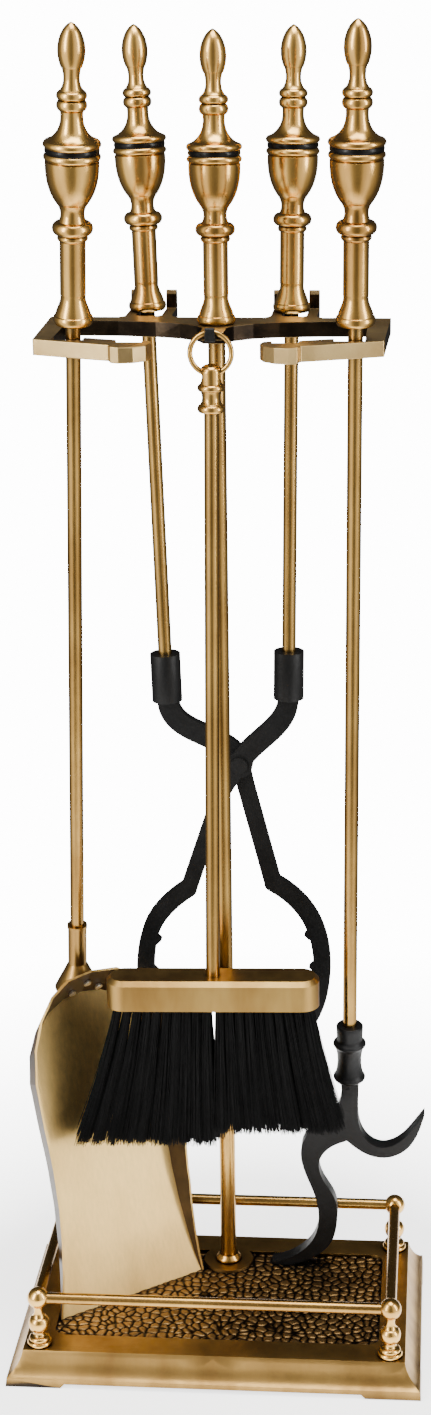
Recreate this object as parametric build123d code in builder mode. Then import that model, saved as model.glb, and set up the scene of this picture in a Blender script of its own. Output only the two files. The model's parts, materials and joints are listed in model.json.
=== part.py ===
"""Fireplace tool set: a brass stand with shovel, poker, tongs and hanging brush.

Every separate piece of the real set is its own solid, in one shared frame:
millimetres, +Z up, front of the stand towards -Y.
"""
import os
from build123d import *

os.makedirs("parts", exist_ok=True)

# ---------------------------------------------------------------- driving dimensions
# Base casting. base_y puts the whole set's bounding box on the origin.
base_y = -12.6
base_half_x = 120.0
base_half_y = 75.3
top_half_x = 110.6
top_half_y = 66.8
base_height = 19.2
lip_height = 5.0
foot_gap = 2.3
foot_length_x = 31.0
foot_length_y = 26.0
recess_half_x = 95.0
recess_half_y = 49.5
recess_depth = 2.5
cavity_half_x = 107.0
cavity_half_y = 63.2
cavity_height = 12.5
boss_radius = 15.0

# Gallery rail round the base.
post_x = 101.8
post_y = 59.0
rail_z = 49.3
rail_radius = 3.3

# Pole and yoke.
pole_y = base_y + 40.9
pole_radius = 4.75
yoke_top = 597.0
yoke_thickness = 8.5
fork_x = 40.5

# Handles and rods, the same on every tool.
rod_radius = 4.0
tenon_radius = 2.9
bore_radius = 3.0
socket_bore = 4.1
tenon_length = 98.0
seat_depth = 6.0
seat_z = 605.0
running_gap = 0.06

# Shovel.
shovel_top = Vector(-71.2, base_y - 8.7, yoke_top)
lip_mid = Vector(-55.0, base_y + 0.3, 16.8)
pan_turn = 37.8
pan_lean = 16.0
pan_length = 188.0
pan_wall = 1.2
pan_depth = 18.0

# Poker.
poker_top = Vector(77.4, base_y - 8.7, yoke_top)
poker_foot = Vector(73.5, base_y + 42.3, 16.8)
poker_thickness = 8.4

# Tongs.
tongs_y = base_y + 85.0
tongs_pivot = (6.5, 329.0)
jaw_thickness = 6.1
jaw_gap = 0.4
tongs_pin_radius = 3.0

# Brush, hanging on a ring.
brush_y = base_y + 5.0
ring_z = 587.2
ring_radius = 11.1
wire_radius = 1.45
head_top = 226.5
head_height = 18.0
head_length = 123.0
head_depth = 24.0
head_x = -3.8
head_turn = 2.8


# ---------------------------------------------------------------- shared helpers
def save(builder, node):
    """Label one finished solid and write it out."""
    builder.part.label = node
    export_step(builder.part, f"parts/{node}.step")


def side_plane(origin, up):
    """Plane whose local Y runs along up, with local X pointing to the right."""
    side = Vector(up.Z, 0, -up.X).normalized()
    return Plane(origin=origin, x_dir=side, z_dir=side.cross(up))


def draw(segments):
    """Add a closed outline: two points make a line, more make a smooth curve."""
    with BuildLine() as outline:
        for points in segments:
            if len(points) == 2:
                Line(*points)
            else:
                Spline(*points)
    make_face(outline.line.edges())


def turned(node, origin, up, segments):
    """A piece turned on the lathe about the line through origin along up."""
    with BuildPart() as piece:
        with BuildSketch(side_plane(origin, up)):
            draw(segments)
        revolve(axis=Axis(origin, up))
    save(piece, node)
    return piece


# ---------------------------------------------------------------- handles
grip_outline = [
    [(socket_bore, 0), (9.4, 0)],
    [(9.4, 0), (10.4, 1.7), (10.1, 4.4)],
    [(10.1, 4.4), (9.5, 4.8)],
    [(9.5, 4.8), (8.7, 7.6), (7.2, 11.4), (6.8, 16.0)],
    [(6.8, 16.0), (6.8, 44.0)],
    [(6.8, 44.0), (8.0, 45.4), (7.5, 47.4)],
    [(7.5, 47.4), (10.0, 48.7), (10.7, 51.0), (9.9, 53.2), (7.3, 54.4)],
    [(7.3, 54.4), (6.3, 57.6), (7.8, 63.2)],
    [(7.8, 63.2), (bore_radius, 63.2)],
    [(bore_radius, 63.2), (bore_radius, seat_depth)],
    [(bore_radius, seat_depth), (socket_bore, seat_depth)],
    [(socket_bore, seat_depth), (socket_bore, 0)],
]
urn_outline = [
    [(bore_radius, 63.2), (7.8, 63.2)],
    [(7.8, 63.2), (10.6, 67.6), (12.8, 73.6), (13.8, 79.6), (14.0, 85.4)],
    [(14.0, 85.4), (13.5, 86.0)],
    [(13.5, 86.0), (14.8, 87.7), (13.9, 89.6)],
    [(13.9, 89.6), (bore_radius, 89.6)],
    [(bore_radius, 89.6), (bore_radius, 63.2)],
]
band_outline = [
    [(bore_radius, 89.6), (13.7, 89.6)],
    [(13.7, 89.6), (14.2, 91.2), (13.7, 92.7)],
    [(13.7, 92.7), (bore_radius, 92.7)],
    [(bore_radius, 92.7), (bore_radius, 89.6)],
]
cap_outline = [
    [(0, 108), (bore_radius, 108)],
    [(bore_radius, 108), (bore_radius, 92.7)],
    [(bore_radius, 92.7), (14.2, 92.7)],
    [(14.2, 92.7), (15.0, 94.3), (14.0, 96.0)],
    [(14.0, 96.0), (9.4, 98.8), (6.9, 102.6), (5.9, 107.0), (6.0, 110.8)],
    [(6.0, 110.8), (7.5, 112.2), (7.9, 113.8), (7.5, 115.5), (6.5, 116.6)],
    [(6.5, 116.6), (7.6, 117.5), (7.9, 118.8), (7.5, 120.1), (6.2, 121.2)],
    [(6.2, 121.2), (4.5, 124.6), (4.2, 127.6), (5.0, 132.4)],
    [(5.0, 132.4), (5.4, 132.6)],
    [(5.4, 132.6), (6.8, 137.4), (7.1, 142.0), (5.8, 148.2), (3.0, 152.9), (0, 155)],
    [(0, 155), (0, 108)],
]


def handle(tool, seat, up):
    """The four brass pieces threaded on the end of a rod."""
    turned(f"{tool}_grip", seat, up, grip_outline)
    turned(f"{tool}_urn", seat, up, urn_outline)
    turned(f"{tool}_band", seat, up, band_outline)
    turned(f"{tool}_cap", seat, up, cap_outline)


def rod(node, foot, seat):
    """A round rod with a thin tenon that carries the handle pieces."""
    up = (seat - foot).normalized()
    length = (seat - foot).length + seat_depth
    with BuildPart(Plane(origin=foot, z_dir=up)) as piece:
        Cylinder(rod_radius, length, align=(Align.CENTER, Align.CENTER, Align.MIN))
        with Locations((0, 0, length)):
            Cylinder(
                tenon_radius,
                tenon_length,
                align=(Align.CENTER, Align.CENTER, Align.MIN),
            )
    save(piece, node)


# ---------------------------------------------------------------- base
up_z = Vector(0, 0, 1)


def cove(half_bottom, half_top):
    """The base's side profile: floor lip, hollow flare, crisp top edge."""
    right = [
        [(half_bottom, 0), (half_bottom - 0.6, lip_height)],
        [
            (half_bottom - 0.6, lip_height),
            (half_bottom - 4.4, 8.2),
            (half_top + 1.8, 13.2),
            (half_top, base_height),
        ],
    ]
    left = [[(-x, z) for x, z in points] for points in right]
    floor = [[(-half_bottom, 0), (half_bottom, 0)]]
    top = [[(half_top, base_height), (-half_top, base_height)]]
    return floor + right + top + left


def bridge(half_length):
    """The raised stretch of skirt between two feet, with slanting ends."""
    return [
        [(-half_length, -1), (half_length, -1)],
        [(half_length, -1), (half_length - foot_gap - 1, foot_gap)],
        [(half_length - foot_gap - 1, foot_gap), (1 + foot_gap - half_length, foot_gap)],
        [(1 + foot_gap - half_length, foot_gap), (-half_length, -1)],
    ]


side_view = Plane(origin=(0, base_y, 0), x_dir=(0, 1, 0), z_dir=(1, 0, 0))
front_view = Plane(origin=(0, base_y, 0), x_dir=(1, 0, 0), z_dir=(0, -1, 0))
post_spots = [
    (sx * post_x, base_y + sy * post_y) for sy in (-1, 1) for sx in (-1, 1)
]

with BuildPart() as base_casting:
    with BuildSketch(front_view):
        draw(cove(base_half_x, top_half_x))
    extrude(amount=base_half_y + 1, both=True)
    with BuildSketch(side_view):
        draw(cove(base_half_y, top_half_y))
    extrude(amount=base_half_x + 1, both=True, mode=Mode.INTERSECT)
    # Recessed tray, with a boss left standing for the pole.
    with BuildSketch(Plane.XY.offset(base_height - recess_depth)):
        with Locations((0, base_y)):
            RectangleRounded(2 * recess_half_x, 2 * recess_half_y, 7)
        with Locations((0, pole_y)):
            Circle(boss_radius, mode=Mode.SUBTRACT)
    extrude(amount=recess_depth, mode=Mode.SUBTRACT)
    # Open underside, hollow inside the skirt.
    with BuildSketch(Plane.XY):
        with Locations((0, base_y)):
            RectangleRounded(2 * cavity_half_x, 2 * cavity_half_y, 5)
    extrude(amount=cavity_height, mode=Mode.SUBTRACT)
    with BuildSketch(front_view):
        draw(bridge(base_half_x - foot_length_x))
    extrude(amount=base_half_y + 2, both=True, mode=Mode.SUBTRACT)
    with BuildSketch(side_view):
        draw(bridge(base_half_y - foot_length_y))
    extrude(amount=base_half_x + 2, both=True, mode=Mode.SUBTRACT)
    # Holes for the pole's end and the post screws.
    with Locations((0, pole_y, cavity_height)):
        Cylinder(4.0, 20, mode=Mode.SUBTRACT)
    with Locations([(x, y, cavity_height) for x, y in post_spots]):
        Cylinder(2.1, 20, mode=Mode.SUBTRACT)
save(base_casting, "base_casting")

# ---------------------------------------------------------------- pole
with BuildPart() as pole:
    with Locations((0, pole_y, base_height)):
        Cylinder(
            pole_radius,
            590.5 - base_height,
            align=(Align.CENTER, Align.CENTER, Align.MIN),
        )
    with Locations((0, pole_y, 4.6)):
        Cylinder(3.9, 16, align=(Align.CENTER, Align.CENTER, Align.MIN))
    with Locations((0, pole_y, 590)):
        Cylinder(rod_radius, 13, align=(Align.CENTER, Align.CENTER, Align.MIN))
    with Locations((0, pole_y, 603)):
        Cylinder(
            tenon_radius,
            tenon_length,
            align=(Align.CENTER, Align.CENTER, Align.MIN),
        )
save(pole, "pole")

turned(
    "pole_collar",
    Vector(0, pole_y, base_height),
    up_z,
    [
        [(pole_radius + 0.05, 0), (7.6, 0)],
        [(7.6, 0), (7.9, 1.2), (7.3, 2.6)],
        [(7.3, 2.6), (6.0, 4.2)],
        [(6.0, 4.2), (pole_radius + 0.05, 4.2)],
        [(pole_radius + 0.05, 4.2), (pole_radius + 0.05, 0)],
    ],
)

with BuildPart() as pole_washer:
    with Locations((0, pole_y, cavity_height - 1.5)):
        Cylinder(9, 1.5, align=(Align.CENTER, Align.CENTER, Align.MIN))
        Cylinder(3.98, 8, mode=Mode.SUBTRACT)
save(pole_washer, "pole_washer")

with BuildPart() as pole_nut:
    with BuildSketch(Plane.XY.offset(cavity_height - 7.0)):
        with Locations((0, pole_y)):
            RegularPolygon(7.5, 6)
            Circle(3.98, mode=Mode.SUBTRACT)
    extrude(amount=5.5)
save(pole_nut, "pole_nut")

# ---------------------------------------------------------------- gallery
post_outline = [
    [(0, 0), (6.9, 0)],
    [(6.9, 0), (7.2, 1.3), (6.7, 2.6)],
    [(6.7, 2.6), (5.9, 2.9)],
    [(5.9, 2.9), (6.1, 4.0), (5.2, 5.3)],
    [(5.2, 5.3), (3.4, 6.6), (3.2, 8.0)],
    [(3.2, 8.0), (4.9, 9.6), (6.1, 13.4), (4.7, 17.4)],
    [(4.7, 17.4), (2.9, 19.6), (2.6, 21.4), (3.1, 24.6)],
    [(3.1, 24.6), (5.0, 26.3), (6.3, 30.1), (4.6, 34.4), (0, 36.4)],
    [(0, 36.4), (0, 0)],
]
post_names = ["front_left", "front_right", "back_left", "back_right"]
for name, (x, y) in zip(post_names, post_spots):
    inward_x = -1 if x > 0 else 1
    inward_y = -1 if y > base_y else 1
    with BuildPart() as post:
        with BuildSketch(side_plane((x, y, base_height), up_z)):
            draw(post_outline)
        revolve(axis=Axis((x, y, 0), (0, 0, 1)))
        with Locations((x + inward_x * 8.5, y, rail_z)):
            Cylinder(rail_radius + 0.05, 10, rotation=(0, 90, 0), mode=Mode.SUBTRACT)
        with Locations((x, y + inward_y * 8.5, rail_z)):
            Cylinder(rail_radius + 0.05, 10, rotation=(90, 0, 0), mode=Mode.SUBTRACT)
        with Locations((x, y, base_height)):
            Cylinder(1.55, 24, mode=Mode.SUBTRACT)
    save(post, f"post_{name}")

with BuildPart() as post_screws:
    for x, y in post_spots:
        with Locations((x, y, cavity_height - 2.4)):
            Cylinder(3.4, 2.4, align=(Align.CENTER, Align.CENTER, Align.MIN))
            Cylinder(1.5, 17, align=(Align.CENTER, Align.CENTER, Align.MIN))
save(post_screws, "post_screws")

rail_specs = [
    ("front_rail", (0, base_y - post_y), 2 * (post_x - 3.6), (0, 90, 0)),
    ("back_rail", (0, base_y + post_y), 2 * (post_x - 3.6), (0, 90, 0)),
    ("left_rail", (-post_x, base_y), 2 * (post_y - 3.6), (90, 0, 0)),
    ("right_rail", (post_x, base_y), 2 * (post_y - 3.6), (90, 0, 0)),
]
for name, (x, y), length, turn in rail_specs:
    with BuildPart() as rail:
        with Locations((x, y, rail_z)):
            Cylinder(rail_radius, length, rotation=turn)
    save(rail, name)

# ---------------------------------------------------------------- yoke
# Right half of the yoke's plan, measured from the pole, front towards -Y.
yoke_half_plan = [
    (0, -28), (6.4, -28), (6.4, -14), (10, -6.5), (20, 1), (34, 6), (55, 9), (82.5, 10),
    (82.5, -54), (66, -54), (66, -46.5), (48, -53.5), (48, -60.5), (34, -60.5),
    (34, -55.5), (29.5, -57), (28.2, -63), (30.5, -70.5), (36.5, -76), (44, -77.5),
    (48.5, -75.5), (50, -70), (57, -67.5), (72, -61.5), (92.5, -53), (94.5, 23),
    (57, 23), (54, 26), (fork_x + 13, 30), (fork_x + 13, 59), (fork_x + 7, 59),
    (fork_x + 7, 30), (fork_x + 5, 27), (fork_x - 5, 27), (fork_x - 7, 30),
    (fork_x - 7, 59), (fork_x - 13, 59), (fork_x - 13, 30), (fork_x - 14, 26),
    (24, 23), (0, 23),
]
with BuildPart() as yoke:
    with BuildSketch(Plane(origin=(0, pole_y, yoke_top - yoke_thickness))):
        with BuildLine() as yoke_edge:
            Polyline(*yoke_half_plan, close=True)
        make_face(yoke_edge.line.edges())
        mirror(about=Plane.YZ)
    extrude(amount=yoke_thickness)
    # The hook tongue at the front is thinner than the rest.
    with Locations((0, pole_y - 28.5, yoke_top - yoke_thickness)):
        Box(
            14,
            13.5,
            4.2,
            align=(Align.CENTER, Align.MIN, Align.MIN),
            mode=Mode.SUBTRACT,
        )
    # Upturned tips at the back keep the tongs from sliding off.
    for sx in (-1, 1):
        for dx in (-10, 10):
            with BuildSketch(
                Plane(
                    origin=(sx * fork_x + dx, pole_y + 59.5, yoke_top - 4),
                    x_dir=(0, 1, 0),
                    z_dir=(1, 0, 0),
                )
            ):
                Polygon(
                    (0, -3), (-5, -3), (-4.6, 12), (-3.4, 14), (-0.8, 14), (0, 12),
                    align=None,
                )
            extrude(amount=3, both=True)
    with Locations((0, pole_y, yoke_top)):
        Cylinder(rod_radius + 0.06, 40, mode=Mode.SUBTRACT)
    with Locations((0, pole_y, 590.5)):
        Cylinder(
            pole_radius + 0.06,
            10,
            align=(Align.CENTER, Align.CENTER, Align.MAX),
            mode=Mode.SUBTRACT,
        )
save(yoke, "yoke")

# Black hook on the end of the tongue, with a lip that keeps the ring on.
tongue_front = pole_y - 28.0
peg_top = ring_z + 9.2
with BuildPart() as brush_hook:
    with BuildSketch(
        Plane(origin=(0, tongue_front, peg_top), x_dir=(0, -1, 0), z_dir=(-1, 0, 0))
    ):
        with BuildLine() as hook_edge:
            Polyline(
                (0, 0), (0, -2.9), (11.9, -2.9), (12.6, -2.2), (12.6, 4.0),
                (12.1, 4.7), (11.4, 4.7), (10.9, 4.0), (10.9, 0.5), (10.2, 0),
                close=True,
            )
        make_face(hook_edge.line.edges())
    extrude(amount=2.65, both=True)
save(brush_hook, "brush_hook")

handle("stand", Vector(0, pole_y, yoke_top), up_z)

# ---------------------------------------------------------------- shovel
# Pan frame: X along the lip, Y up the plate, Z out of the plate towards the front.
lip_dir = Vector(1, 0, 0).rotate(Axis.Z, pan_turn)
plate_up = Vector(0, 0, 1).rotate(Axis((0, 0, 0), lip_dir), -pan_lean)
pan_plane = Plane(origin=lip_mid, x_dir=lip_dir, z_dir=lip_dir.cross(plate_up))

# Half widths of the plate at heights up from the lip, then round the hood.
pan_half = [
    (49.5, 0), (47.0, 12), (44.6, 28), (42.6, 46), (41.2, 68), (41.2, 92), (42.6, 118),
    (43.4, 142), (40.6, 158), (34.2, 171), (25.0, 180.5), (13.5, 186.4),
]


def pan_face(level, inset, flare, hood):
    """Flat outline of the pan, level above the plate, opened by flare and hood."""
    right = []
    for half, height in pan_half:
        share = max(0.0, (height - 130) / (pan_length - 130))
        side = flare * (1 - share) + share * hood * 0.25 - inset
        right.append((half + side, height + share * (hood - inset)))
    left = [(-x, y) for x, y in reversed(right)]
    ring = right + [(0, pan_length + hood - inset)] + left
    corners = [pan_plane.from_local_coords(Vector(x, y, level)) for x, y in ring]
    return Face(Wire.make_polygon(corners, close=True))


hood_reach = 14.0
side_flare = 4.8
outer_faces = [pan_face(0, 0, 0, 0), pan_face(pan_depth, 0, side_flare, hood_reach)]
inner_faces = [
    pan_face(level, 1.25, side_flare * level / pan_depth, hood_reach * level / pan_depth)
    for level in (pan_wall, pan_depth + 1)
]
pan_side = Plane(origin=lip_mid, x_dir=plate_up, z_dir=lip_dir)

# Rod line: from the socket behind the hood up through the yoke's notch.
socket_foot = pan_plane.from_local_coords(Vector(0, 197.0, -1.0))
shovel_up = (shovel_top - socket_foot).normalized()
shovel_seat = socket_foot + shovel_up * ((seat_z - socket_foot.Z) / shovel_up.Z)

# Rivets go through the hood at right angles to it.
hood_normal = Vector(0, -pan_depth, hood_reach).normalized()
rivet_spots = []
for x, level in ((-9.0, 5.0), (0.0, 9.0), (9.0, 5.0)):
    height = pan_length - 0.14 * abs(x) + hood_reach * level / pan_depth
    spot = pan_plane.from_local_coords(Vector(x, height, level))
    into = pan_plane.from_local_coords(Vector(x, height, level) + hood_normal) - spot
    rivet_spots.append(Plane(origin=spot, z_dir=into))

with BuildPart() as shovel_pan:
    loft(outer_faces, ruled=True)
    loft(inner_faces, ruled=True, mode=Mode.SUBTRACT)
    with BuildSketch(pan_side):
        Polygon(
            (-5, 1.9), (0, 1.9), (20, 5.5), (60, 13), (110, 18.4), (110, 30), (-5, 30),
            align=None,
        )
    extrude(amount=80, both=True, mode=Mode.SUBTRACT)
    for spot in rivet_spots:
        with Locations(spot.location):
            Cylinder(1.5, 12, mode=Mode.SUBTRACT)
save(shovel_pan, "shovel_pan")

# The flared foot is trimmed to lie flat against the outside of the hood.
from_floor = (Align.CENTER, Align.CENTER, Align.MIN)
with BuildPart() as socket_blank:
    with Locations(Plane(origin=socket_foot, z_dir=shovel_up).location):
        with Locations((0, 0, 6)):
            Cylinder(5.5, 30, align=from_floor)
        with Locations((0, 0, 34)):
            Cylinder(5.9, 2, align=from_floor)
        with Locations((0, 0, -7)):
            Cone(13.5, 5.5, 17, align=from_floor)
        with Locations((0, 0, 12)):
            Cylinder(rod_radius + 0.06, 40, align=from_floor, mode=Mode.SUBTRACT)
    loft(outer_faces, ruled=True, mode=Mode.SUBTRACT)
    for spot in rivet_spots:
        with Locations(spot.location):
            Cylinder(1.55, 14, mode=Mode.SUBTRACT)
with BuildPart() as shovel_socket:
    add(socket_blank.solids().sort_by(SortBy.VOLUME)[-1])
save(shovel_socket, "shovel_socket")

with BuildPart() as shovel_rivets:
    for spot in rivet_spots:
        with Locations(spot.location):
            Cylinder(1.45, 5.6, align=(Align.CENTER, Align.CENTER, Align.CENTER))
            with Locations((0, 0, 1.5)):
                Cylinder(2.3, 1.1, align=(Align.CENTER, Align.CENTER, Align.MIN))
save(shovel_rivets, "shovel_rivets")

rod("shovel_rod", socket_foot + shovel_up * 12.2, shovel_seat)
handle("shovel", shovel_seat, shovel_up)

# ---------------------------------------------------------------- poker
poker_up = (poker_top - poker_foot).normalized()
poker_seat = poker_foot + poker_up * ((seat_z - poker_foot.Z) / poker_up.Z)
poker_view = side_plane(poker_foot, poker_up)


# Foot, shank and side hook, drawn across the poker and measured from its foot.
shank_outline = [
    [
        (-46.5, 1.4), (-33.0, 1.3), (-22.5, 6.0), (-11.5, 16.0), (-6.6, 33.0),
        (-8.5, 51.0), (-15.5, 64.0), (-17.0, 78.5), (-13.4, 84.5), (-5.5, 90.0),
    ],
    [(-5.5, 90.0), (-1.0, 92.0)],
    [
        (-1.0, 92.0), (6.0, 86.0), (14.0, 81.8), (23.0, 81.0), (33.5, 86.0),
        (40.8, 97.0), (45.2, 112.0),
    ],
    [
        (45.2, 112.0), (36.0, 98.5), (28.0, 90.6), (20.0, 88.0), (12.5, 91.5),
        (7.4, 99.5), (5.4, 112.0), (5.0, 133.0),
    ],
    [(5.0, 133.0), (-5.0, 133.0)],
    [
        (-5.0, 133.0), (-5.4, 118.0), (-10.5, 106.5), (-21.5, 98.5), (-28.2, 87.0),
        (-26.6, 70.0), (-20.5, 53.0), (-17.8, 35.0), (-21.0, 20.5), (-30.0, 9.6), (-46.5, 2.6),
    ],
    [(-46.5, 2.6), (-46.5, 1.4)],
]
socket_outline = [
    [(0, 128), (4.6, 128)],
    [(4.6, 128), (5.2, 131.5), (8.4, 133.2), (9.4, 134.6), (8.6, 136.4)],
    [(8.6, 136.4), (8.0, 138.5), (8.0, 154.0), (8.6, 156.0)],
    [(8.6, 156.0), (9.7, 157.6), (8.4, 159.4)],
    [(8.4, 159.4), (7.6, 160.4)],
    [(7.6, 160.4), (7.9, 169.4)],
    [(7.9, 169.4), (7.3, 170.0)],
    [(7.3, 170.0), (rod_radius + 0.06, 170.0)],
    [(rod_radius + 0.06, 170.0), (rod_radius + 0.06, 152.0)],
    [(rod_radius + 0.06, 152.0), (0, 152.0)],
    [(0, 152.0), (0, 128)],
]
with BuildPart() as poker_iron:
    with BuildSketch(poker_view):
        draw(shank_outline)
    extrude(amount=poker_thickness / 2, both=True)
    with BuildSketch(poker_view):
        draw(socket_outline)
    revolve(axis=Axis(poker_foot, poker_up))
save(poker_iron, "poker_iron")
rod("poker_rod", poker_foot + poker_up * 152.2, poker_seat)
handle("poker", poker_seat, poker_up)

# ---------------------------------------------------------------- tongs
# Each half: ferrule and handle on one side, claw on the other, joined at the pivot.
pivot_x, pivot_z = tongs_pivot
tongs_halves = {
    "right": {
        "ferrule": (35.7, 369.5),
        "seat": (38.3, yoke_top + 0.2),
        "arm": [(35.7, 371), (33.0, 360), (22.0, 347), (pivot_x, pivot_z)],
        "leg": [(pivot_x, pivot_z), (-4.0, 312), (-25.0, 249)],
        "claw": [
            (-25.0, 249), (-36.5, 239.5), (-46.0, 227), (-51.3, 209), (-52.3, 190),
            (-49.0, 171), (-40.5, 154), (-27.5, 141), (-13.0, 134.5),
        ],
        "side": -1,
    },
    "left": {
        "ferrule": (-36.2, 367.0),
        "seat": (-42.8, yoke_top + 0.7),
        "arm": [(-36.2, 368.5), (-31.5, 355), (-12.0, 343.5), (pivot_x, pivot_z)],
        "leg": [(pivot_x, pivot_z), (9.5, 314), (25.6, 251)],
        "claw": [
            (25.6, 251), (37.0, 243), (47.0, 231), (53.8, 213), (55.4, 194),
            (52.4, 174), (43.8, 156), (30.5, 142.5), (16.0, 135.5),
        ],
        "side": 1,
    },
}
tongs_view = Plane(origin=(0, tongs_y, 0), x_dir=(1, 0, 0), z_dir=(0, -1, 0))
for name, half in tongs_halves.items():
    near = 1 if name == "right" else -1
    middle = near * (jaw_thickness + jaw_gap) / 2
    flat = tongs_view.offset(middle)
    fx, fz = half["ferrule"]
    seat = Vector(half["seat"][0], tongs_y, half["seat"][1])
    foot = Vector(fx, tongs_y, fz)
    rod_up = (seat - foot).normalized()
    with BuildPart() as jaw:
        with BuildSketch(flat):
            with BuildLine() as arm_line:
                Spline(*half["arm"])
            trace(arm_line.line, 12.5)
            with Locations((pivot_x, pivot_z)):
                Circle(8.0)
        extrude(amount=jaw_thickness / 2, both=True)
        with BuildSketch(flat):
            with BuildLine() as leg_line:
                Polyline(*half["leg"])
            trace(leg_line.line, 10.0)
        extrude(amount=jaw_thickness / 2, both=True)
        with BuildSketch(flat):
            with BuildLine() as claw_line:
                Spline(*half["claw"])
            trace(claw_line.line, 10.5)
            for share in (0.3, 0.46, 0.62, 0.78):
                spot = claw_line.line @ share
                inward = (claw_line.line % share).rotate(Axis.Z, -90 * half["side"])
                with Locations(spot + inward * 5.0):
                    RegularPolygon(3.0, 4)
            with Locations(half["claw"][0]):
                Circle(5.2)
        extrude(amount=jaw_thickness / 2, both=True)
        with Locations(Plane(origin=foot, z_dir=rod_up).location):
            Cylinder(8.9, 29, align=(Align.CENTER, Align.CENTER, Align.MIN))
            with Locations((0, 0, 17)):
                Cylinder(
                    rod_radius + 0.06,
                    30,
                    align=(Align.CENTER, Align.CENTER, Align.MIN),
                    mode=Mode.SUBTRACT,
                )
        with Locations((pivot_x, tongs_y, pivot_z)):
            Cylinder(
                tongs_pin_radius + (running_gap if name == "left" else 0.0),
                40,
                rotation=(90, 0, 0),
                mode=Mode.SUBTRACT,
            )
    save(jaw, f"tongs_{name}_jaw")
    rod(f"tongs_{name}_rod", foot + rod_up * 17.2, seat)
    handle(f"tongs_{name}", seat, rod_up)

pin_length = 2 * jaw_thickness + jaw_gap
with BuildPart() as tongs_pin:
    with Locations((pivot_x, tongs_y, pivot_z)):
        Cylinder(tongs_pin_radius, pin_length + 0.3, rotation=(90, 0, 0))
        for side in (-1, 1):
            with Locations((0, side * (pin_length / 2 + 0.15 + 0.8), 0)):
                Cylinder(5.0, 1.6, rotation=(90, 0, 0))
save(tongs_pin, "tongs_pin")

# ---------------------------------------------------------------- brush
with BuildPart() as brush_ring:
    with Locations((0, brush_y, ring_z)):
        Torus(ring_radius, wire_radius, rotation=(90, 0, 0))
save(brush_ring, "brush_ring")

finial_base = 555.5
brush_up = Vector(-head_x, 0, finial_base - head_top).normalized()
eye_radius = 2.3
eye_z = ring_z - ring_radius + wire_radius + 0.15 - eye_radius
finial_outline = [
    [(0, 9), (bore_radius, 9)],
    [(bore_radius, 9), (bore_radius, 0)],
    [(bore_radius, 0), (6.4, 0)],
    [(6.4, 0), (7.4, 1.2), (7.3, 3.0), (6.2, 4.2)],
    [(6.2, 4.2), (5.1, 6.4), (5.0, 8.6), (5.8, 11.4)],
    [(5.8, 11.4), (7.3, 12.6), (7.0, 14.4), (5.9, 15.2)],
    [(5.9, 15.2), (6.0, 21.6)],
    [(6.0, 21.6), (5.3, 23.8), (3.2, 25.4), (0, 25.9)],
    [(0, 25.9), (0, 9)],
]
with BuildPart() as brush_finial:
    with BuildSketch(side_plane((0, brush_y, finial_base), up_z)):
        draw(finial_outline)
    revolve(axis=Axis((0, brush_y, 0), (0, 0, 1)))
    with Locations((0, brush_y, eye_z)):
        Cylinder(eye_radius, 20, rotation=(0, 90, 0), mode=Mode.SUBTRACT)
    # The eye opens out at both ends, so the curved wire can turn in it.
    with BuildSketch(Plane(origin=(0, brush_y, eye_z), x_dir=(1, 0, 0), z_dir=(0, -1, 0))):
        Polygon((0.8, 0), (0.8, eye_radius - 0.1), (7, 5.0), (7, 0), align=None)
        Polygon((-0.8, 0), (-7, 0), (-7, 5.0), (-0.8, eye_radius - 0.1), align=None)
    revolve(axis=Axis((0, brush_y, eye_z), (1, 0, 0)), mode=Mode.SUBTRACT)
save(brush_finial, "brush_finial")

head_plane = Plane(
    origin=(head_x, brush_y, head_top),
    x_dir=Vector(1, 0, 0).rotate(Axis.Z, head_turn),
    z_dir=(0, 0, 1),
)
with BuildPart(Plane(origin=(head_x, brush_y, head_top), z_dir=brush_up)) as brush_rod:
    rod_length = (finial_base - head_top) / brush_up.Z
    Cylinder(rod_radius, rod_length, align=(Align.CENTER, Align.CENTER, Align.MIN))
    with Locations((0, 0, -12)):
        Cylinder(
            tenon_radius,
            rod_length + 20.5,
            align=(Align.CENTER, Align.CENTER, Align.MIN),
        )
save(brush_rod, "brush_rod")

cover_wall = 1.2
with BuildPart() as brush_cover:
    with BuildSketch(head_plane):
        RectangleRounded(head_length, head_depth, 10.5)
    extrude(amount=-head_height)
    rim = brush_cover.edges().filter_by(Plane.XY).group_by(Axis.Z)[-1]
    chamfer(rim, 2.6)
    with BuildSketch(head_plane.offset(-head_height)):
        RectangleRounded(head_length - 2 * cover_wall, head_depth - 2 * cover_wall, 9.3)
    extrude(amount=head_height - 3.8, mode=Mode.SUBTRACT)
    with Locations((head_x, brush_y, head_top)):
        Cylinder(bore_radius + 0.25, 20, mode=Mode.SUBTRACT)
save(brush_cover, "brush_cover")

block_top = head_top - 3.8
block_bottom = head_top - head_height + 1.0
with BuildPart() as brush_block:
    with BuildSketch(head_plane.offset(block_bottom - head_top)):
        RectangleRounded(
            head_length - 2 * cover_wall - 0.2,
            head_depth - 2 * cover_wall - 0.2,
            9.2,
        )
    extrude(amount=block_top - block_bottom)
    with Locations((head_x, brush_y, block_top)):
        Cylinder(bore_radius + 0.25, 24, mode=Mode.SUBTRACT)
save(brush_block, "brush_block")

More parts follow.
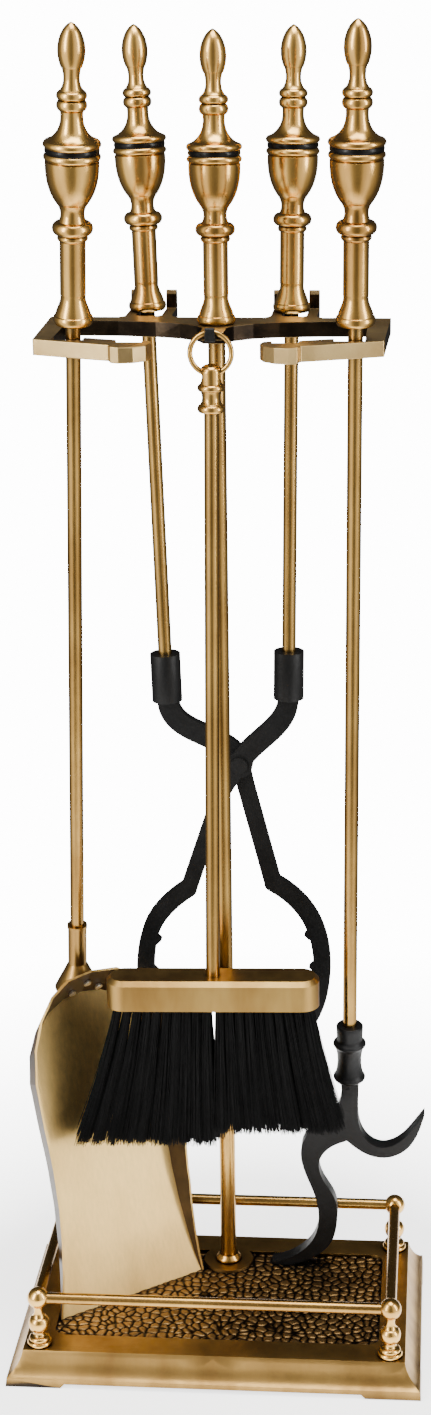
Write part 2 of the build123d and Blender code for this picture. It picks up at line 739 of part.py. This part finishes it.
# Bristle bundles: inner edge, outer edge at the top and at the tips, tip height.
bundles = {
    "left": ((-2.0, -59.0), (-1.0, -78.5), 118.5),
    "right": ((2.0, 59.0), (2.5, 73.5), 126.5),
}
for name, (top_x, tip_x, tip_z) in bundles.items():
    top_mid = (top_x[0] + top_x[1]) / 2
    tip_mid = (tip_x[0] + tip_x[1]) / 2
    with BuildPart() as bristles:
        with BuildSketch(head_plane.offset(block_bottom - head_top)):
            with Locations((top_mid, 0)):
                RectangleRounded(abs(top_x[1] - top_x[0]), 19.6, 8)
        with BuildSketch(head_plane.offset(tip_z - head_top)):
            with Locations((tip_mid, 0)):
                RectangleRounded(abs(tip_x[1] - tip_x[0]), 17.0, 7)
        loft(ruled=True)
    save(bristles, f"brush_bristles_{name}")
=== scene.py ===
# %% [markdown]
# # Fireplace tool set
# The metal parts arrive as finished solids from the frame. This file gives them their finishes, and adds the three
# things that a solid cannot show: bristles, the cobbled floor of the tray, and worn edges on the ironwork.

# %% Load the frame
import json
import math

import bpy
import numpy as np
from mathutils import Matrix, Vector


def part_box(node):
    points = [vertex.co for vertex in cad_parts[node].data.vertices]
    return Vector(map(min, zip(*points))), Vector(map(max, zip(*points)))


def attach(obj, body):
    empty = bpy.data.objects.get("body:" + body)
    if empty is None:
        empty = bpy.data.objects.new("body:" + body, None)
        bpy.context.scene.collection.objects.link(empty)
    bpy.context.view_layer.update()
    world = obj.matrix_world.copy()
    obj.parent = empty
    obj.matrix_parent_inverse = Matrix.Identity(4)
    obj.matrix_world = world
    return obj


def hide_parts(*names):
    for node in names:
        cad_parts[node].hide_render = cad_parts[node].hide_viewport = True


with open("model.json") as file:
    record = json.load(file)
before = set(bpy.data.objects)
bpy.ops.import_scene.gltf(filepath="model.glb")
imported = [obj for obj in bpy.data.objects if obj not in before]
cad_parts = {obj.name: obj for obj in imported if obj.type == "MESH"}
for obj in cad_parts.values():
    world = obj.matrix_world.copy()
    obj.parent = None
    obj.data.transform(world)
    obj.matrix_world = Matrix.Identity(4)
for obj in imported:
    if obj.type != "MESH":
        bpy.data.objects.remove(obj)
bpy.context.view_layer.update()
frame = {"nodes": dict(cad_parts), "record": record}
nodes = frame["nodes"]

# %% [markdown]
# ## Camera
# The set is tall and narrow. The camera stands just above handle height and looks down, so the handles are seen
# almost level and the tray from well above. A little sideways shift moves the picture without turning the view.

# %% Camera
camera_spot = Vector((0.1214, -1.2791, 0.8070))
camera_turn = math.radians(-4.19)
camera_tilt = math.radians(18.13)
camera_roll = math.radians(-0.413)


def aimed_camera():
    """Matrix whose columns are right, up and backwards, from a turn about Z, a tilt down and a small roll."""
    ahead = Vector((
        math.sin(camera_turn) * math.cos(camera_tilt),
        math.cos(camera_turn) * math.cos(camera_tilt),
        -math.sin(camera_tilt),
    ))
    level = Vector((math.cos(camera_turn), -math.sin(camera_turn), 0))
    upward = level.cross(ahead)
    right = level * math.cos(camera_roll) + upward * math.sin(camera_roll)
    up = upward * math.cos(camera_roll) - level * math.sin(camera_roll)
    turned = Matrix((right, up, -ahead)).transposed()
    return Matrix.Translation(camera_spot) @ turned.to_4x4()


camera_data = bpy.data.cameras.new("camera")
camera_data.lens = 61.4
camera_data.shift_x = -0.0358
camera = bpy.data.objects.new("camera", camera_data)
bpy.context.scene.collection.objects.link(camera)
camera.matrix_world = aimed_camera()
bpy.context.scene.camera = camera
print("camera at", tuple(round(v, 3) for v in camera.location))

# %% [markdown]
# ## A kit for wiring
# Every finish below is a small network of nodes. These helpers each add one node, or a few that belong together, and
# hand back the socket that carries on.

# %% A small kit for wiring finishes
def start(name, metallic):
    """A new material: its tree, its shader, and Object coordinates."""
    material = bpy.data.materials.new(name)
    material.use_nodes = True
    tree = material.node_tree
    shader = tree.nodes["Principled BSDF"]
    shader.inputs["Metallic"].default_value = metallic
    place = tree.nodes.new("ShaderNodeTexCoord").outputs["Object"]
    return material, tree, shader, place


def stretched(tree, place, scale):
    """The same coordinates, scaled by a different amount along each axis."""
    mapping = tree.nodes.new("ShaderNodeMapping")
    mapping.inputs["Scale"].default_value = scale
    tree.links.new(place, mapping.inputs["Vector"])
    return mapping.outputs["Vector"]


def noise(tree, place, scale, detail=4.0, rough=0.55):
    """Fractal noise between 0 and 1."""
    texture = tree.nodes.new("ShaderNodeTexNoise")
    texture.inputs["Scale"].default_value = scale
    texture.inputs["Detail"].default_value = detail
    texture.inputs["Roughness"].default_value = rough
    tree.links.new(place, texture.inputs["Vector"])
    return texture.outputs["Fac"]


def ramp(tree, value, stops):
    """A colour for each value: stops are (position, colour) pairs."""
    node = tree.nodes.new("ShaderNodeValToRGB")
    points = node.color_ramp.elements
    while len(points) < len(stops):
        points.new(0.5)
    for point, (position, colour) in zip(points, stops):
        point.position = position
        point.color = (*colour, 1)
    tree.links.new(value, node.inputs["Fac"])
    return node.outputs["Color"]


def blended(tree, share, first, second, way="MIX"):
    """first turned into second by share, which is a number or a socket."""
    node = tree.nodes.new("ShaderNodeMix")
    node.data_type = "RGBA"
    node.blend_type = way
    if isinstance(share, float):
        node.inputs[0].default_value = share
    else:
        tree.links.new(share, node.inputs[0])
    tree.links.new(first, node.inputs[6])
    if isinstance(second, tuple):
        node.inputs[7].default_value = (*second, 1)
    else:
        tree.links.new(second, node.inputs[7])
    return node.outputs[2]


def spread(tree, value, low, high):
    """A 0 to 1 value stretched to run from low to high."""
    node = tree.nodes.new("ShaderNodeMapRange")
    node.inputs["To Min"].default_value = low
    node.inputs["To Max"].default_value = high
    tree.links.new(value, node.inputs["Value"])
    return node.outputs["Result"]


def cut(tree, value, low, high):
    """0 at low, 1 at high and straight between; low may be the larger of the two."""
    node = tree.nodes.new("ShaderNodeMapRange")
    node.inputs["From Min"].default_value = low
    node.inputs["From Max"].default_value = high
    tree.links.new(value, node.inputs["Value"])
    return node.outputs["Result"]


def hollow(tree, reach, low, high):
    """1 in grooves and corners, 0 in the open: occlusion within reach metres, cut between low and high."""
    node = tree.nodes.new("ShaderNodeAmbientOcclusion")
    node.samples = 8
    node.inputs["Distance"].default_value = reach
    return cut(tree, node.outputs["AO"], high, low)


def bumped(tree, shader, height, depth, strength=1.0):
    """Bump of depth metres on the shader's normal."""
    node = tree.nodes.new("ShaderNodeBump")
    node.inputs["Distance"].default_value = depth
    node.inputs["Strength"].default_value = strength
    tree.links.new(height, node.inputs["Height"])
    tree.links.new(node.outputs["Normal"], shader.inputs["Normal"])


# %% [markdown]
# ## Floor and light
# Polished brass shows what stands around it, so the room matters as much as the metal. The room here is two tall
# bright panels at the front left and front right with black cloth between and behind them. Each upright rod then
# carries two long highlights, a dark streak down its middle and a dark line along both edges. The camera itself sees
# a plain white backdrop, and the pale floor fades out into it.

# %% Floor
floor_reach = 0.9
floor_gap = 0.0005
floor_mesh = bpy.data.meshes.new("floor")
floor_mesh.from_pydata(
    [(floor_reach * x, floor_reach * y, 0) for x, y in ((-1, -1), (1, -1), (1, 1), (-1, 1))], [], [(0, 1, 2, 3)]
)
floor = bpy.data.objects.new("floor", floor_mesh)
floor.location.z = -floor_gap
bpy.context.scene.collection.objects.link(floor)


def faded_floor(inner, outer):
    """Pale matt paper, solid within inner metres of the middle and gone beyond outer metres."""
    material, tree, shader, place = start("pale_floor", 0.0)
    shader.inputs["Base Color"].default_value = (0.92, 0.92, 0.91, 1)
    shader.inputs["Roughness"].default_value = 0.9
    shader.inputs["Emission Color"].default_value = (1, 1, 1, 1)
    shader.inputs["Emission Strength"].default_value = 2.2
    length = tree.nodes.new("ShaderNodeVectorMath")
    length.operation = "LENGTH"
    tree.links.new(place, length.inputs[0])
    mixed = tree.nodes.new("ShaderNodeMixShader")
    tree.links.new(cut(tree, length.outputs["Value"], inner, outer), mixed.inputs["Fac"])
    tree.links.new(shader.outputs[0], mixed.inputs[1])
    tree.links.new(tree.nodes.new("ShaderNodeBsdfTransparent").outputs[0], mixed.inputs[2])
    tree.links.new(mixed.outputs[0], tree.nodes["Material Output"].inputs["Surface"])
    return material


floor_mesh.materials.append(faded_floor(inner=0.16, outer=0.55))

# %% Sky and lamps
world = bpy.data.worlds.new("studio")
bpy.context.scene.world = world
world.use_nodes = True
sky = world.node_tree
sky_light = sky.nodes["Background"]
direction = sky.nodes.new("ShaderNodeTexCoord")
apart = sky.nodes.new("ShaderNodeSeparateXYZ")
sky.links.new(direction.outputs["Generated"], apart.inputs[0])
bearing = sky.nodes.new("ShaderNodeMath")
bearing.operation = "ARCTAN2"
sky.links.new(apart.outputs["X"], bearing.inputs[0])
sky.links.new(apart.outputs["Y"], bearing.inputs[1])
panels = sky.nodes.new("ShaderNodeValToRGB")
panels.color_ramp.interpolation = "EASE"
# Compass bearing as a fraction of a turn: 0 and 1 are the front, 0.25 the left, 0.5 the back, 0.75 the right.
panel_levels = [
    (0.00, 0.16), (0.04, 0.30), (0.10, 1.30), (0.19, 1.05), (0.25, 0.18), (0.38, 0.05), (0.50, 0.04),
    (0.66, 0.06), (0.76, 0.35), (0.84, 1.10), (0.90, 0.75), (0.95, 0.16), (1.00, 0.16),
]
for spot, level in panel_levels[1:-1]:
    panels.color_ramp.elements.new(spot)
for element, (spot, level) in zip(panels.color_ramp.elements, panel_levels):
    element.position = spot
    element.color = (level, level * 0.985, level * 0.95, 1)
sky.links.new(cut(sky, bearing.outputs[0], -math.pi, math.pi), panels.inputs["Fac"])
sky.links.new(panels.outputs["Color"], sky_light.inputs["Color"])
sky_light.inputs["Strength"].default_value = 1.5

seen_sky = sky.nodes.new("ShaderNodeBackground")
seen_sky.inputs["Color"].default_value = (1, 1, 1, 1)
seen_sky.inputs["Strength"].default_value = 14.0
ray = sky.nodes.new("ShaderNodeLightPath")
either = sky.nodes.new("ShaderNodeMixShader")
sky.links.new(ray.outputs["Is Camera Ray"], either.inputs["Fac"])
sky.links.new(sky_light.outputs[0], either.inputs[1])
sky.links.new(seen_sky.outputs[0], either.inputs[2])
sky.links.new(either.outputs[0], sky.nodes["World Output"].inputs["Surface"])


def lamp(name, spot, width, height, power):
    """A soft rectangular lamp at spot, facing the middle of the set."""
    data = bpy.data.lights.new(name, "AREA")
    data.shape = "RECTANGLE"
    data.size = width
    data.size_y = height
    data.energy = power
    item = bpy.data.objects.new(name, data)
    item.location = spot
    item.rotation_mode = "QUATERNION"
    item.rotation_quaternion = (Vector((0, 0, 0.4)) - Vector(spot)).to_track_quat("-Z", "Y")
    bpy.context.scene.collection.objects.link(item)


lamp("left_lamp", (-1.5, -1.5, 1.3), 0.45, 2.2, 45)
lamp("right_lamp", (2.0, -0.7, 1.1), 0.35, 2.2, 36)
lamp("top_lamp", (0.2, -0.3, 2.7), 1.4, 1.4, 60)
print("lamps", len(bpy.data.lights))

# %% [markdown]
# ## Finishes
# Antiqued brass is dipped black and then rubbed back, so dark stays wherever a cloth cannot reach. The ambient
# occlusion node measures just that: how closed in a spot is. A ramp turns it into patina. Slow noise gives the uneven
# tarnish of the open surfaces, and fine noise the grain of the casting.

# %% Brass finishes
def brass(name, bright, dull, patina, groove, roughness, grain):
    """Brass from bright to dull by slow noise, with patina in the grooves that groove describes."""
    material, tree, shader, place = start(name, 1.0)
    tarnish = noise(tree, stretched(tree, place, (1.0, 1.0, 0.3)), 40.0, 4.0)
    open_metal = ramp(tree, tarnish, [(0.35, bright), (0.68, dull)])
    grooves = hollow(tree, *groove)
    colour = blended(tree, grooves, open_metal, patina)
    tree.links.new(colour, shader.inputs["Base Color"])
    scuffs = noise(tree, stretched(tree, place, (1.0, 1.0, 0.25)), 160.0, 3.0)
    tree.links.new(spread(tree, scuffs, *roughness), shader.inputs["Roughness"])
    bumped(tree, shader, noise(tree, place, grain, 3.0), 0.00006, 0.4)
    return material


antique_brass = brass(
    "antique_brass", (0.80, 0.48, 0.13), (0.46, 0.24, 0.06), (0.012, 0.008, 0.005),
    (0.007, 0.40, 0.86), (0.16, 0.28), 700.0,
)
satin_brass = brass(
    "satin_brass", (0.56, 0.35, 0.105), (0.36, 0.20, 0.055), (0.03, 0.018, 0.009),
    (0.008, 0.30, 0.80), (0.24, 0.38), 900.0,
)
tray_brass = brass(
    "tray_brass", (0.44, 0.265, 0.078), (0.25, 0.14, 0.04), (0.014, 0.009, 0.006),
    (0.010, 0.45, 0.95), (0.28, 0.46), 420.0,
)
print("brass finishes ready")


# %% [markdown]
# Rod stock is drawn through a die, so its fine scratches run along it. The shovel's plate is brushed the same way.
# Noise squeezed across the grain and stretched along it gives both.

# %% Drawn rod
def brushed(name, bright, dull, stretch, roughness):
    """Brass with scratches drawn out along Z, and a dark painted shade where other parts close round the rod."""
    material, tree, shader, place = start(name, 1.0)
    scratches = noise(tree, stretched(tree, place, stretch), 60.0, 5.0, 0.65)
    cloud = noise(tree, place, 16.0, 4.0)
    base = ramp(tree, cloud, [(0.35, bright), (0.66, dull)])
    fine = ramp(tree, scratches, [(0.3, (0.72, 0.72, 0.72)), (0.7, (1.0, 1.0, 1.0))])
    grained = blended(tree, 0.6, base, fine, "MULTIPLY")
    # Painted shade: occlusion within 14 mm turns the rod dark brown where it enters handles and passes through
    # notches.
    colour = blended(tree, hollow(tree, 0.014, 0.25, 0.85), grained, (0.10, 0.065, 0.03))
    tree.links.new(colour, shader.inputs["Base Color"])
    tree.links.new(spread(tree, scratches, *roughness), shader.inputs["Roughness"])
    bumped(tree, shader, scratches, 0.00008, 0.5)
    return material


rod_brass = brushed("rod_brass", (0.60, 0.36, 0.10), (0.38, 0.21, 0.055), (14, 14, 0.35), (0.18, 0.32))


# %% [markdown]
# The shovel is bent from one brushed sheet. Its flat plate is pale brushed brass; the upturned wall and the hood
# carry a dark brown painted shade instead. Both can share one material, because the wall is simply where the surface
# does not face the way the plate does. The yoke is the same: its front faces and top are brass, its inner walls carry
# a near-black painted shade.

# %% Shovel and yoke
plate_facing = (0.589, -0.759, 0.276)


def facing(tree, way):
    """How nearly the surface faces along way, from 0 at right angles to 1: the size of a dot product."""
    normal = tree.nodes.new("ShaderNodeTexCoord").outputs["Normal"]
    product = tree.nodes.new("ShaderNodeVectorMath")
    product.operation = "DOT_PRODUCT"
    product.inputs[1].default_value = way
    tree.links.new(normal, product.inputs[0])
    size = tree.nodes.new("ShaderNodeMath")
    size.operation = "ABSOLUTE"
    tree.links.new(product.outputs["Value"], size.inputs[0])
    return size.outputs[0]


def shovel_finish():
    """Pale brushed plate with broad clouds of tarnish and painted shade near its wall and hood, and a dark brown
    painted shade on the wall and hood.
    """
    material, tree, shader, place = start("shovel_plate", 1.0)
    scratches = noise(tree, stretched(tree, place, (9, 9, 0.5)), 60.0, 5.0, 0.65)
    cloud = noise(tree, stretched(tree, place, (1.0, 1.0, 0.4)), 11.0, 3.0)
    plate = ramp(tree, cloud, [(0.38, (0.82, 0.56, 0.20)), (0.62, (0.46, 0.28, 0.085))])
    fine = ramp(tree, scratches, [(0.3, (0.76, 0.76, 0.76)), (0.7, (1.0, 1.0, 1.0))])
    plate = blended(tree, 0.6, plate, fine, "MULTIPLY")
    # Painted shade: occlusion within 5 cm darkens the plate near its wall and hood and under the brush.
    plate = blended(tree, hollow(tree, 0.05, 0.10, 0.62), plate, (0.08, 0.05, 0.022))
    # Painted shade: wherever the surface does not face the way the plate does, the wall and hood are near-black brown
    # and not metallic.
    wall = ramp(tree, noise(tree, place, 45.0, 4.0), [(0.3, (0.075, 0.040, 0.014)), (0.7, (0.022, 0.012, 0.005))])
    flat = cut(tree, facing(tree, plate_facing), 0.93, 0.985)
    tree.links.new(flat, shader.inputs["Metallic"])
    shader.inputs["Specular IOR Level"].default_value = 0.3
    tree.links.new(blended(tree, flat, wall, plate), shader.inputs["Base Color"])
    tree.links.new(spread(tree, scratches, 0.28, 0.44), shader.inputs["Roughness"])
    bumped(tree, shader, scratches, 0.00008, 0.5)
    return material


def yoke_finish(front_edge):
    """Brass on top and on every face in front of front_edge (metres along Y), with a near-black painted shade on the
    upright walls behind it.
    """
    material, tree, shader, place = start("yoke_brass", 1.0)
    cloud = noise(tree, place, 26.0, 4.0)
    rubbed = ramp(tree, cloud, [(0.35, (0.62, 0.44, 0.19)), (0.68, (0.40, 0.26, 0.10))])
    # Painted shade: the upright inner walls of the yoke's slots and notches are coloured near black.
    painted_shade_walls = ramp(tree, noise(tree, place, 70.0, 4.0), [(0.3, (0.012, 0.009, 0.007)), (0.75, (0.05, 0.034, 0.02))])
    apart = tree.nodes.new("ShaderNodeSeparateXYZ")
    tree.links.new(place, apart.inputs[0])
    behind = cut(tree, apart.outputs["Y"], front_edge - 0.002, front_edge + 0.002)
    upright = cut(tree, facing(tree, (0, 0, 1)), 0.75, 0.45)
    both = tree.nodes.new("ShaderNodeMath")
    both.operation = "MULTIPLY"
    tree.links.new(behind, both.inputs[0])
    tree.links.new(upright, both.inputs[1])
    tree.links.new(blended(tree, both.outputs[0], rubbed, painted_shade_walls), shader.inputs["Base Color"])
    tree.links.new(spread(tree, noise(tree, place, 260.0), 0.26, 0.42), shader.inputs["Roughness"])
    bumped(tree, shader, noise(tree, place, 900.0, 3.0), 0.00015, 0.5)
    return material


shovel_plate = shovel_finish()
# The painted shade on the yoke's inner walls starts this far behind its front face.
unshaded_depth = 0.034
yoke_brass = yoke_finish(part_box("yoke")[0].y + unshaded_depth)
print("shovel and yoke finishes ready")

# %% [markdown]
# The iron is blacked, not painted thick: dull, faintly pitted, and slightly cloudy in colour.

# %% Black iron, black bands and small steel
def black_iron_finish():
    """Near-black iron, cloudy in colour, with fine pits."""
    material, tree, shader, place = start("black_iron", 0.0)
    cloud = noise(tree, place, 60.0, 5.0)
    colour = ramp(tree, cloud, [(0.3, (0.0012, 0.0012, 0.0013)), (0.75, (0.006, 0.006, 0.0062))])
    tree.links.new(colour, shader.inputs["Base Color"])
    tree.links.new(spread(tree, noise(tree, place, 320.0), 0.34, 0.56), shader.inputs["Roughness"])
    shader.inputs["Specular IOR Level"].default_value = 0.28
    bumped(tree, shader, noise(tree, place, 260.0, 6.0, 0.6), 0.0004, 0.6)
    return material


def black_band_finish():
    """Glossy black with a faint haze."""
    material, tree, shader, place = start("black_band", 0.0)
    colour = ramp(tree, noise(tree, place, 90.0), [(0.3, (0.0015, 0.0013, 0.0012)), (0.8, (0.006, 0.005, 0.004))])
    tree.links.new(colour, shader.inputs["Base Color"])
    tree.links.new(spread(tree, noise(tree, place, 300.0), 0.18, 0.34), shader.inputs["Roughness"])
    shader.inputs["Specular IOR Level"].default_value = 0.2
    return material


def steel_finish(name, bright, dull):
    """Small plated hardware: two greys by noise."""
    material, tree, shader, place = start(name, 1.0)
    tree.links.new(ramp(tree, noise(tree, place, 180.0), [(0.3, bright), (0.7, dull)]), shader.inputs["Base Color"])
    tree.links.new(spread(tree, noise(tree, place, 500.0), 0.22, 0.4), shader.inputs["Roughness"])
    return material


def hardwood_finish():
    """Beech: long rings along X, with fine pores."""
    material, tree, shader, place = start("hardwood", 0.0)
    grain = noise(tree, stretched(tree, place, (2, 30, 30)), 30.0, 5.0)
    colour = ramp(tree, grain, [(0.3, (0.42, 0.28, 0.16)), (0.7, (0.25, 0.15, 0.08))])
    tree.links.new(colour, shader.inputs["Base Color"])
    shader.inputs["Roughness"].default_value = 0.6
    bumped(tree, shader, grain, 0.0002)
    return material


finishes = {
    "antique_brass": antique_brass,
    "satin_brass": satin_brass,
    "tray_brass": tray_brass,
    "shovel_plate": shovel_plate,
    "black_band": black_band_finish(),
    "black_iron": black_iron_finish(),
    "zinc_steel": steel_finish("zinc_steel", (0.62, 0.62, 0.61), (0.46, 0.46, 0.46)),
    "bright_steel": steel_finish("bright_steel", (0.86, 0.84, 0.78), (0.66, 0.62, 0.52)),
    "hardwood": hardwood_finish(),
}

# %% Put a finish on every solid
for entry in frame["record"]["subparts"]:
    node, slot = entry["node"], entry["material_slot"]
    if node.endswith("_rod") or node == "pole" or node.endswith("_rail"):
        finish = rod_brass
    elif node == "yoke":
        finish = yoke_brass
    else:
        finish = finishes.get(slot, finishes["black_iron"])
    mesh = nodes[node].data
    mesh.materials.clear()
    mesh.materials.append(finish)
print("finishes on", len(nodes), "solids")

# %% [markdown]
# ## Softened edges
# Forged and cast parts have no knife edges. A Weld modifier joins the loose triangles of a solid, and a Bevel on the
# edges that turn sharply rounds them, so each edge catches a thin line of light.

# %% Bevels on the ironwork, the yoke and the tray
edge_widths = {
    "poker_iron": 0.0020,
    "tongs_left_jaw": 0.0013,
    "tongs_right_jaw": 0.0013,
    "yoke": 0.0007,
    "brush_hook": 0.0005,
    "base_casting": 0.0006,
}
for node, width in edge_widths.items():
    weld = nodes[node].modifiers.new("weld", "WELD")
    weld.merge_threshold = 0.00001
    bevel = nodes[node].modifiers.new("edges", "BEVEL")
    bevel.width = width
    bevel.segments = 2
    bevel.limit_method = "ANGLE"
    bevel.angle_limit = math.radians(38)
print("bevelled", len(edge_widths))


# %% [markdown]
# ## Tray floor
# The floor of the tray is cast with a cobbled pattern of small flat pebbles. Each pebble is the patch of ground
# nearer to its own centre than to any other. Its height is how much nearer, clipped flat on top.

# %% Surface helper
def surface(name, points, material, body):
    """A mesh from a grid of points (rows, columns, 3), each cell one quad, facing along rows x columns."""
    rows, columns = points.shape[:2]
    index = np.arange(rows * columns).reshape(rows, columns)
    quads = np.stack([index[:-1, :-1], index[1:, :-1], index[1:, 1:], index[:-1, 1:]], axis=-1).reshape(-1, 4)
    return built(name, points.reshape(-1, 3), quads, material, body)


def built(name, vertices, faces, material, body):
    """A smooth-shaded piece from arrays of vertices and faces, riding on a body."""
    mesh = bpy.data.meshes.new(name)
    mesh.from_pydata(vertices.tolist(), [], faces.tolist())
    mesh.shade_smooth()
    mesh.materials.append(material)
    piece = bpy.data.objects.new(name, mesh)
    bpy.context.scene.collection.objects.link(piece)
    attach(piece, body)
    print(name, "faces", len(mesh.polygons))
    return piece


# %% Cobbled floor
tray_low, tray_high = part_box("base_casting")
tray_top = tray_high.z
tray_middle = (tray_low.y + tray_high.y) / 2
floor_drop = 0.0025
floor_half = (0.0948, 0.0493)
pebble_pitch = 0.0052
pebble_height = 0.0008
pebble_jitter = 0.45
pebble_edge = 0.42
above_floor = 0.00004


def cobbles():
    """Height is the gap between the two nearest pebble centres over pebble_edge, clipped at 1 and then smoothed."""
    chance = np.random.default_rng(7)
    x = np.linspace(-floor_half[0], floor_half[0], 330)
    y = np.linspace(-floor_half[1], floor_half[1], 172)
    grid_y, grid_x = np.meshgrid(y, x)
    columns = np.arange(-floor_half[0] - pebble_pitch, floor_half[0] + pebble_pitch, pebble_pitch)
    rows = np.arange(-floor_half[1] - pebble_pitch, floor_half[1] + pebble_pitch, pebble_pitch)
    centre_x, centre_y = (part.ravel() for part in np.meshgrid(columns, rows))
    centre_x = centre_x + chance.uniform(-pebble_jitter, pebble_jitter, centre_x.size) * pebble_pitch
    centre_y = centre_y + chance.uniform(-pebble_jitter, pebble_jitter, centre_y.size) * pebble_pitch
    away = np.hypot(grid_x[..., None] - centre_x, grid_y[..., None] - centre_y)
    nearest = np.partition(away, 1, axis=-1)[..., :2]
    gap = (nearest[..., 1] - nearest[..., 0]) / pebble_pitch
    rise = np.clip(gap / pebble_edge, 0, 1)
    rise = rise * rise * (3 - 2 * rise)
    height = tray_top - floor_drop + above_floor + pebble_height * rise
    return np.stack([grid_x, grid_y + tray_middle, height], axis=-1)


def cobble_finish(valley, crest):
    """Colour by height: black dip in the cracks, rubbed brass on the pebbles, and a dark rim round the tray."""
    material, tree, shader, place = start("cobble_brass", 1.0)
    apart = tree.nodes.new("ShaderNodeSeparateXYZ")
    tree.links.new(place, apart.inputs[0])
    lift = cut(tree, apart.outputs["Z"], valley, crest)
    cloud = noise(tree, place, 30.0, 4.0)
    pebble = ramp(tree, cloud, [(0.32, (0.44, 0.26, 0.09)), (0.68, (0.17, 0.095, 0.035))])
    worn = ramp(tree, lift, [(0.25, (0.03, 0.025, 0.022)), (0.85, (1.0, 1.0, 1.0))])
    colour = blended(tree, 1.0, pebble, worn, "MULTIPLY")
    colour = blended(tree, hollow(tree, 0.012, 0.62, 0.97), colour, (0.012, 0.010, 0.010))
    tree.links.new(colour, shader.inputs["Base Color"])
    tree.links.new(spread(tree, noise(tree, place, 500.0), 0.34, 0.5), shader.inputs["Roughness"])
    bumped(tree, shader, noise(tree, place, 900.0, 3.0), 0.0002, 0.6)
    return material


cobble_base = tray_top - floor_drop
cobble_brass = cobble_finish(cobble_base, cobble_base + pebble_height)
surface("tray_cobbles", cobbles(), cobble_brass, "stand")

# %% [markdown]
# ## Bristles
# A brush is drilled, and each hole holds one tuft of stiff fibre. The tufts fan out from the block, spread at their
# tips, and never end level. Every fibre is a thin three-sided tube along a bent path; all of them are one array.

# %% Fibres
fibre_radius = 0.00024
fibre_steps = 5
root_in = 0.0038
root_out = 0.0545
head_turn = math.radians(2.8)


def bundle(node, columns, rows, each, seed):
    """Tufts on a grid under the block; each fibre runs from its root to a tip scaled out to the bundle's own width,
    bending as the square of the way down."""
    chance = np.random.default_rng(seed)
    low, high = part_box(node)
    cover_low, cover_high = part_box("brush_cover")
    middle = (cover_low + cover_high) / 2
    side = 1.0 if node.endswith("right") else -1.0
    outer = (high.x - middle.x) if side > 0 else (middle.x - low.x)
    inner = (low.x - middle.x) if side > 0 else (middle.x - high.x)
    tip_in, tip_out = inner + 0.0015, outer - 0.0022
    along = np.repeat(np.tile(np.linspace(0, 1, columns), rows), each)
    across = np.repeat(np.repeat(np.linspace(-1, 1, rows), columns), each)
    count = along.size
    angle = chance.uniform(0, 2 * np.pi, count)
    out = np.sqrt(chance.uniform(0, 1, count))
    tuft_lean = np.repeat(chance.normal(0, 0.0011, columns * rows), each)
    root_x = side * (root_in + along * (root_out - root_in)) + 0.0024 * out * np.cos(angle)
    root_y = across * 0.0068 + 0.0020 * out * np.sin(angle)
    tip_x = side * (tip_in + along * (tip_out - tip_in)) + 0.0042 * out * np.cos(angle) + tuft_lean
    tip_y = across * 0.0062 + 0.0022 * out * np.sin(angle)
    tip_x = tip_x + chance.normal(0, 0.0009, count)
    drop = np.abs(chance.normal(0, 0.0030, count)) + 0.004 * out ** 2 * chance.uniform(0, 1, count)
    way = np.linspace(0, 1, fibre_steps + 1)[None, :]
    flat_x = root_x[:, None] + (tip_x - root_x)[:, None] * (0.75 * way + 0.25 * way ** 2)
    flat_y = root_y[:, None] + (tip_y - root_y)[:, None] * way
    path_x = middle.x + flat_x * math.cos(head_turn) - flat_y * math.sin(head_turn)
    path_y = middle.y + flat_x * math.sin(head_turn) + flat_y * math.cos(head_turn)
    path_z = high.z + 0.0005 - (high.z + 0.0005 - low.z - drop)[:, None] * way
    thin = fibre_radius * (1 - 0.35 * way)
    corner = np.arange(3) * 2 * np.pi / 3
    points = np.stack(
        [
            path_x[..., None] + thin[..., None] * np.cos(corner),
            path_y[..., None] + thin[..., None] * np.sin(corner),
            np.broadcast_to(path_z[..., None], (count, fibre_steps + 1, 3)),
        ],
        axis=-1,
    )
    index = np.arange(count * (fibre_steps + 1) * 3).reshape(count, fibre_steps + 1, 3)
    beside = np.roll(index, -1, axis=2)
    walls = np.stack([index[:, 1:], beside[:, 1:], beside[:, :-1], index[:, :-1]], axis=-1).reshape(-1, 4)
    return points.reshape(-1, 3), walls


def bristle_finish():
    """Black fibre with a faint shine."""
    material, tree, shader, place = start("bristle", 0.0)
    strands = noise(tree, stretched(tree, place, (30, 30, 0.6)), 40.0, 3.0)
    colour = ramp(tree, strands, [(0.3, (0.0008, 0.0008, 0.0009)), (0.75, (0.004, 0.004, 0.004))])
    tree.links.new(colour, shader.inputs["Base Color"])
    tree.links.new(spread(tree, strands, 0.35, 0.6), shader.inputs["Roughness"])
    shader.inputs["Specular IOR Level"].default_value = 0.12
    return material


bristle = bristle_finish()
for side, seed in (("left", 11), ("right", 12)):
    node = "brush_bristles_" + side
    vertices, walls = bundle(node, columns=10, rows=4, each=110, seed=seed)
    piece = built("bristle_fibres_" + side, vertices, walls, bristle, "brush")
    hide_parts(node)
